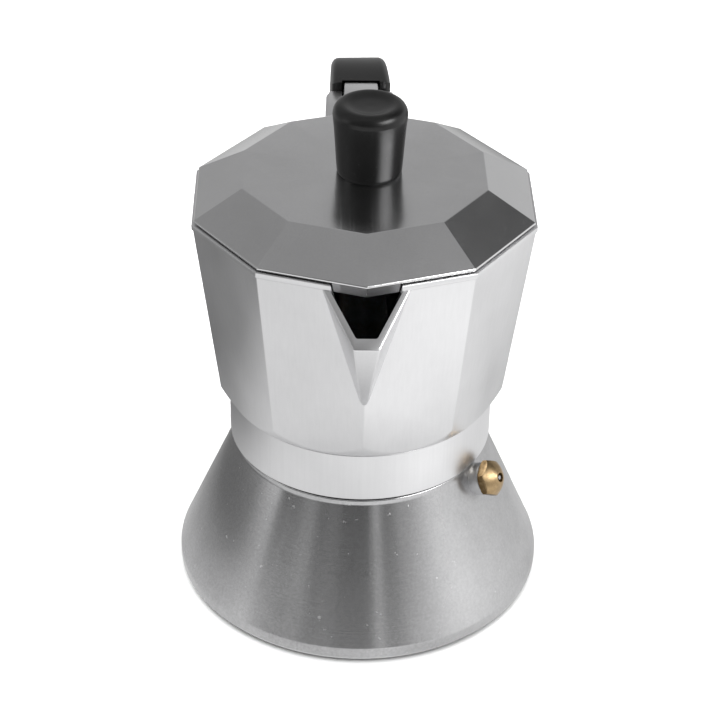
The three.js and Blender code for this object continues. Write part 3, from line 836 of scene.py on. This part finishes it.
def pot_hollow():
    top = POT_RIM + 1
    chamber = [(0, 67), (34.4, 67), (pot_radius(70) - POT_WALL, 70), (pot_radius(top) - POT_WALL, top),
               (0, top)]
    under = [(0, pot_low.z - 1), (COLLAR_BORE, pot_low.z - 1), (COLLAR_BORE, 57.2), (32.3, 57.2),
             (32.3, 61.1), (28.6, 61.1), (28.6, 62.3), (24.5, 62.3), (6, 64.6), (6, 68), (0, 68)]
    return combine(ten_sided(soften(chamber, 1.2), 2.5), "UNION", turned(under, 120))


def upper_pot():
    body = combine(pot_outside(), "UNION", spout_outside(), back_boss())
    screw_hole = plain_cylinder(1.8, LUG_LOW[2] - 1, LUG_HIGH[2] + 1)
    screw_hole.transform(Matrix.Translation((0, HANDLE_SCREW_Y, 0)))
    pin_hole = cross_bar(PIN_HOLE_RADIUS, 12, HINGE_Y, HINGE_Z)
    body = combine(body, "DIFFERENCE", pot_hollow(), spout_inside(), tongue_slot(), pin_hole, screw_hole)
    thread = helix_ridge(COLLAR_BORE, 32.7, 46.5, 3.0, THREAD_PITCH, THREAD_WIDTH)
    return joined(body, thread)


def column():
    top = column_high.z
    outline = [(0, 63.5), (5.7, 63.5), (5.7, 67.3), (8.6, 67.3), (7.6, 70), (5, top - 2), (3.8, top - 0.4),
               (2.6, top), (0, top)]
    outside = turned(soften(outline, 0.5), 72)
    bore = turned([(0, 62), (4.2, 62), (2.4, 68), (2.4, top - 2), (0, top - 2)], 48)
    slots = block((-8, -1.5, top - 8), (8, 1.5, top - 3.5))
    return combine(outside, "DIFFERENCE", bore, slots)


piece("pot_casting", upper_pot(), "upper", "cast_aluminium", SATIN, "upper_pot")
piece("column", column(), "upper", "cast_aluminium", COLUMN, "coffee_column")
piece("lid_pin", cross_bar(HINGE_PIN_RADIUS, pin_high.x, HINGE_Y, HINGE_Z, 0.3), "upper", "steel", STEEL,
      "hinge_pin")


# ---- handle ----
def handle_outline():
    """Side outline (y, z) of the handle, drawn with the CAD solid's curves."""
    front, top = HANDLE_FRONT, 117.1
    curves = [
        ((front, top), (70, 118.25), (78, 118.1), (83.5, 112.6)),
        ((83.5, 112.6), (91, 104.8), (93.5, 90), (94.47, 72)),
        ((94.47, 72), (94.77, 64), (92, handle_low.z), (87.5, handle_low.z)),
        ((87.5, handle_low.z), (82.5, handle_low.z), (80.4, 63), (80, 69)),
        ((80, 69), (79.4, 79), (77.5, 84.5), (70, 85.6)),
    ]
    outline = [(front, 84.5)]
    for start, out, back, end in curves:
        points = interpolate_bezier(*[Vector((*p, 0)) for p in (start, out, back, end)], 15)
        outline += [(p.x, p.y) for p in points[:-1]]
    outline.append((70, 85.6))
    return outline


def handle_body():
    half = HANDLE_HALF_WIDTH
    body = prism(handle_outline(), -half, half, "YZ")
    rims = [e for e in body.edges if abs(abs(e.verts[0].co.x) - half) < 1e-3
            and abs(e.verts[0].co.x - e.verts[1].co.x) < 1e-3]
    bmesh.ops.bevel(body, geom=rims, offset=2.4, segments=8, profile=0.5, affect="EDGES", clamp_overlap=False)
    for vert in body.verts:
        vert.co.x *= max(HANDLE_LEAST_WIDTH, 1 - HANDLE_TAPER * (vert.co.y - HANDLE_FRONT))
    skew = Matrix.Translation((0, HANDLE_SCREW_Y, 0)) @ Matrix.Rotation(HANDLE_SKEW, 4, "Z")
    body.transform(skew @ Matrix.Translation((0, -HANDLE_SCREW_Y, 0)))
    notch = block((-SLOT_HALF_WIDTH, 50, HINGE_Z), (SLOT_HALF_WIDTH, lid_high.y + GAP, 125))
    sweep = cross_bar(GRIP_SWEEP_RADIUS, SLOT_HALF_WIDTH, HINGE_Y, HINGE_Z)
    socket = block((-4.5, 50, LUG_LOW[2] - 0.3), (4.5, LUG_HIGH[1] + 0.5, LUG_HIGH[2] + 0.3))
    clearance = plain_cylinder(1.8, 80, 93)
    counterbore = plain_cylinder(3.4, 80, 88.6)
    for drill in (clearance, counterbore):
        drill.transform(Matrix.Translation((0, HANDLE_SCREW_Y, 0)))
    return combine(body, "DIFFERENCE", notch, sweep, socket, clearance, counterbore)


def screw(head_radius, head_low, head_high, shank_radius, shank_high, slot_width, x=0, y=0):
    outline = [(0, head_low), (head_radius * 0.8, head_low), (head_radius, head_low + 0.7),
               (head_radius, head_high), (shank_radius, head_high), (shank_radius, shank_high),
               (0, shank_high)]
    shape = turned(soften(outline, 0.2), 48)
    slot = block((-head_radius, -slot_width / 2, head_low - 1), (head_radius, slot_width / 2, head_low + 0.9))
    shape = combine(shape, "DIFFERENCE", slot)
    turns = (shank_high - head_high - 1.2) / 0.7
    thread = helix_ridge(shank_radius - 0.02, shank_radius + 0.12, head_high + 0.6, turns, 0.7, 0.5, 24)
    whole = joined(shape, thread)
    whole.transform(Matrix.Translation((x, y, 0)))
    return whole


piece("handle_grip", handle_body(), "upper", "black_plastic", BLACK, "handle")
piece("grip_screw", screw(3, handle_screw_low.z, 88.3, 1.5, handle_screw_high.z, 0.8,
      y=HANDLE_SCREW_Y), "upper", "steel",
      STEEL, "handle_screw")


# ---- lid ----
LID_EDGE_RADIUS = 45.46
LID_EDGE_TOP = 115.14
LID_TOP_RADIUS = 32.64
TONGUE_BOTTOM, TONGUE_TOP = 112.1, 116.9
TONGUE_HALF_WIDTH = 4.8
KNUCKLE_RADIUS = 3.3
KNOB_X = (knob_low.x + knob_high.x) / 2
KNURL_DEPTH = 0.15
KNURL_SIDES = 60


def lid_shell():
    top, edge_bottom = lid_high.z, LID_EDGE_TOP - 0.7
    skirt, sheet = 42.4, 1.5
    outline = [
        (0, top), (LID_TOP_RADIUS, top), (LID_EDGE_RADIUS, LID_EDGE_TOP), (LID_EDGE_RADIUS, edge_bottom),
        (skirt, edge_bottom), (skirt, 110.2), (skirt - sheet, 110.2), (skirt - sheet, 115.4), (31.6, top - 2),
        (0, top - 2),
    ]
    shell = ten_sided(soften(outline, 0.3), 0.5)
    tongue_side = [(41.5, TONGUE_BOTTOM), (lid_high.y, TONGUE_BOTTOM), (lid_high.y, TONGUE_TOP),
                   (48.5, TONGUE_TOP), (45.5, LID_EDGE_TOP), (41.5, LID_EDGE_TOP)]
    tongue = bevel_edges(prism(tongue_side, -TONGUE_HALF_WIDTH, TONGUE_HALF_WIDTH, "YZ"), 0.35, 3, sharp(20))
    knuckle = cross_bar(KNUCKLE_RADIUS, TONGUE_HALF_WIDTH, HINGE_Y, HINGE_Z, 0.3)
    pin_hole = cross_bar(PIN_HOLE_RADIUS, 10, HINGE_Y, HINGE_Z)
    screw_hole = plain_cylinder(2.3, 118, 125)
    screw_hole.transform(Matrix.Translation((KNOB_X, 0, 0)))
    return combine(combine(shell, "UNION", tongue, knuckle), "DIFFERENCE", pin_hole, screw_hole)


def knob_body():
    foot = knob_low.z
    side = smooth_curve([(8.4, 0.4), (8.6, 3), (8.85, 7), (9.2, 12), (9.52, 15.2), (9.56, 15.9), (9.38, 17),
                         (8.8, 18), (7.85, 18.65), (7.0, 18.8), (6.1, 18.65), (4, 18.1), (0, 17.9)], 6)
    drop = lid_high.z + 0.03 - foot  # the grip's edge all but touches the lid
    outline = [(0, 8.6), (3.7, 8.6), (3.7, drop), (8.15, drop), *side]
    bm = turned([(r, z + foot) for r, z in outline], 128)
    bm.transform(Matrix.Translation((KNOB_X, 0, 0)))
    return bm


def knurled_insert():
    low, high = insert_low.z, insert_high.z
    outline = soften([(2.3, low), (3.4, low), (3.4, high), (2.3, high)], 0.2)

    def section(radius):
        notch = KNURL_DEPTH if radius > 3 else 0
        unit = round_section(KNURL_SIDES)
        return [p * (radius - (notch if k % 2 else 0)) for k, p in enumerate(unit)]

    bm = swept(outline, section)
    bm.transform(Matrix.Translation((KNOB_X, 0, 0)))
    return bm


def lid_washer():
    low, high = washer_low.z, washer_high.z
    bm = turned(soften([(2.3, low), (4.8, low), (4.8, high), (2.3, high)], 0.2), 64)
    bm.transform(Matrix.Translation((KNOB_X, 0, 0)))
    return bm


piece("lid_casting", lid_shell(), "lid_and_knob", "polished_aluminium", POLISHED, "lid")
piece("knob_grip", knob_body(), "lid_and_knob", "black_plastic", BLACK, "knob")
piece("knob_sleeve", knurled_insert(), "lid_and_knob", "brass", BRASS, "knob_insert")
piece("lid_washer", lid_washer(), "lid_and_knob", "steel", STEEL, "knob_washer")
piece("lid_screw", screw(3.8, knob_screw_low.z, knob_screw_low.z + 2, 2, knob_screw_high.z, 1.0, x=KNOB_X),
      "lid_and_knob", "steel", STEEL, "knob_screw")


# ---- camera ----
def camera():
    azimuth, elevation, roll = math.radians(-1.35), math.radians(33.59), math.radians(1.03)
    distance = 0.60353
    target = Vector((-0.0003, 0, 0.06396))
    right = Vector((math.cos(azimuth), math.sin(azimuth), 0))
    back = Vector((math.sin(azimuth) * math.cos(elevation), -math.cos(azimuth) * math.cos(elevation),
                   math.sin(elevation)))
    up = back.cross(right)
    tilted_right = right * math.cos(roll) + up * math.sin(roll)
    tilted_up = up * math.cos(roll) - right * math.sin(roll)
    rotation = Matrix((tilted_right, tilted_up, back)).transposed().to_4x4()
    data = bpy.data.cameras.new("camera")
    data.sensor_width = 36
    data.lens = 111.62
    obj = bpy.data.objects.new("camera", data)
    obj.matrix_world = Matrix.Translation(target + back * distance) @ rotation
    bpy.context.scene.collection.objects.link(obj)
    bpy.context.scene.camera = obj


# ---- floor and light ----
def floor():
    bm = bmesh.new()
    bmesh.ops.create_grid(bm, x_segments=1, y_segments=1, size=3)
    obj = raw_object("floor", bm)
    obj.location.z = cad_box[0][2] - 0.0001
    n = Nodes("pale_floor")
    colour = n.colours(n.noise(3, 2), (0.86, 0.86, 0.86), (0.88, 0.88, 0.88))
    n.surface(colour, n.spread(n.noise(8, 2), 0, 1, 0.7, 0.8), 0)
    n.shader.inputs["Specular IOR Level"].default_value = 0.1
    obj.data.materials.append(n.material)


def world_ramp(tree, value, stops):
    """Brightness that follows value through (position, brightness) stops."""
    node = tree.nodes.new("ShaderNodeFloatCurve")
    points = node.mapping.curves[0].points
    for place, height in stops[1:-1]:
        points.new(place, height)
    points[0].location = stops[0]
    points[-1].location = stops[-1]
    for point in points:
        point.handle_type = "AUTO_CLAMPED"
    node.mapping.update()
    tree.links.new(value, node.inputs["Value"])
    return node.outputs["Value"]


def degrees_round(table):
    """Stops given as (degrees round from -Y towards +X, brightness), placed from 0 to 1."""
    return [((angle + 180) / 360, brightness) for angle, brightness in table]


NEAR_HORIZON = degrees_round([
    (-180, 0.55), (-150, 0.37), (-126, 0.33), (-105, 0.30), (-90, 0.48), (-78, 1.20), (-68, 0.60),
    (-58, 0.05), (-46, 0.16), (-38, 0.26), (-30, 0.11), (-20, 0.15), (-10, 0.08), (6, 0.09),
    (13, 0.44), (19, 0.18), (30, 0.32), (45, 0.42), (60, 0.75), (90, 0.95), (126, 0.78), (150, 0.56),
    (180, 0.55),
])
ABOVE = degrees_round([
    (-180, 0.39), (-150, 0.35), (-126, 0.29), (-90, 0.40), (-60, 0.35), (-30, 0.20), (0, 0.16), (30, 0.20),
    (60, 0.40), (90, 0.40), (112, 0.12), (130, 0.09), (150, 0.30), (180, 0.39),
])
OVERHEAD = 0.31


def studio():
    """Soft grey room: uneven round the horizon, darker behind the camera, plain overhead."""
    world = bpy.data.worlds.new("studio")
    bpy.context.scene.world = world
    world.use_nodes = True
    tree = world.node_tree

    def node(kind, **values):
        made = tree.nodes.new(kind)
        for key, value in values.items():
            setattr(made, key, value)
        return made

    def blend(factor, low, high):
        mix = node("ShaderNodeMix", data_type="FLOAT")
        for socket, value in zip(mix.inputs[:4], (factor, None, low, high)):
            if isinstance(value, float):
                socket.default_value = value
            elif value is not None:
                tree.links.new(value, socket)
        return mix.outputs[0]

    def rise(value, start, full):
        step = node("ShaderNodeMapRange", interpolation_type="SMOOTHSTEP")
        step.inputs["From Min"].default_value = start
        step.inputs["From Max"].default_value = full
        tree.links.new(value, step.inputs["Value"])
        return step.outputs["Result"]

    split = node("ShaderNodeSeparateXYZ")
    tree.links.new(node("ShaderNodeTexCoord").outputs["Generated"], split.inputs[0])
    behind = node("ShaderNodeMath", operation="MULTIPLY")
    tree.links.new(split.outputs["Y"], behind.inputs[0])
    behind.inputs[1].default_value = -1
    angle = node("ShaderNodeMath", operation="ARCTAN2")
    tree.links.new(split.outputs["X"], angle.inputs[0])
    tree.links.new(behind.outputs[0], angle.inputs[1])
    turn = node("ShaderNodeMapRange")
    turn.inputs["From Min"].default_value = -math.pi
    turn.inputs["From Max"].default_value = math.pi
    tree.links.new(angle.outputs[0], turn.inputs["Value"])
    low = world_ramp(tree, turn.outputs["Result"], NEAR_HORIZON)
    high = world_ramp(tree, turn.outputs["Result"], ABOVE)
    height = split.outputs["Z"]
    room = blend(rise(height, 0.26, 0.48), low, high)
    room = blend(rise(height, 0.80, 0.93), room, OVERHEAD)
    tree.links.new(room, tree.nodes["Background"].inputs["Strength"])
    tree.nodes["Background"].inputs["Color"].default_value = (1, 1, 1, 1)


def area_light(name, direction, distance, size, power):
    data = bpy.data.lights.new(name, "AREA")
    data.shape = "RECTANGLE"
    data.size, data.size_y = size
    data.energy = power
    obj = bpy.data.objects.new(name, data)
    out = Vector(direction).normalized()
    obj.location = Vector((0, 0, 0.1)) + out * distance
    obj.rotation_euler = out.to_track_quat("Z", "Y").to_euler()
    bpy.context.scene.collection.objects.link(obj)
    return obj


def lights():
    overhead = area_light("overhead", (0, 0, 1), 1.4, (2.4, 2.4), 66)
    overhead.visible_glossy = False
    key = area_light("key", (0.70, -0.45, 0.55), 1.2, (0.75, 0.5), 10)
    key.visible_diffuse = False


def painted_floor_reflection():
    """Painted reflection of the floor for the metal, a glowing sheet seen only in reflections: painted light
    at the right front with a painted pool of light, painted shadow of the pot at the left and behind.
    """
    bm = bmesh.new()
    bmesh.ops.create_grid(bm, x_segments=1, y_segments=1, size=3)
    obj = raw_object("painted_floor_reflection", bm)
    obj.location.z = cad_box[0][2] + 0.0004
    obj.visible_camera = obj.visible_diffuse = obj.visible_transmission = obj.visible_shadow = False
    n = Nodes("painted_floor_reflection")
    split = n.add("ShaderNodeSeparateXYZ")
    n.link(n.place, split.inputs[0])
    across = n.math("ADD", n.math("MULTIPLY", split.outputs["X"], -0.55),
                    n.math("MULTIPLY", split.outputs["Y"], 0.83))
    # painted light and shade of the floor: bright at the right front, painted shadow of the pot at the left
    # and behind
    shade = world_ramp(n.tree, n.spread(across, -0.2, 0.6, 0, 1), [
        (0, 0.95), (0.10, 0.93), (0.19, 0.80), (0.26, 0.78), (0.295, 0.64), (0.355, 0.28), (0.38, 0.20),
        (0.45, 0.20), (0.65, 0.50), (1, 0.65),
    ])
    # painted pool of light on the floor at the right front
    centre = n.add("ShaderNodeVectorMath", operation="DISTANCE")
    n.link(n.place, centre.inputs[0])
    centre.inputs[1].default_value = (0.085, -0.075, 0)
    painted_light_pool = n.spread(centre.outputs["Value"], 0.0, 0.075, 0.28, 0)
    glow = n.add("ShaderNodeEmission")
    n.link(n.math("ADD", shade, painted_light_pool), glow.inputs["Strength"])
    n.link(glow.outputs[0], n.tree.nodes["Material Output"].inputs["Surface"])
    obj.data.materials.append(n.material)


bpy.context.scene.view_settings.view_transform = "Standard"
camera()
floor()
studio()
lights()
painted_floor_reflection()
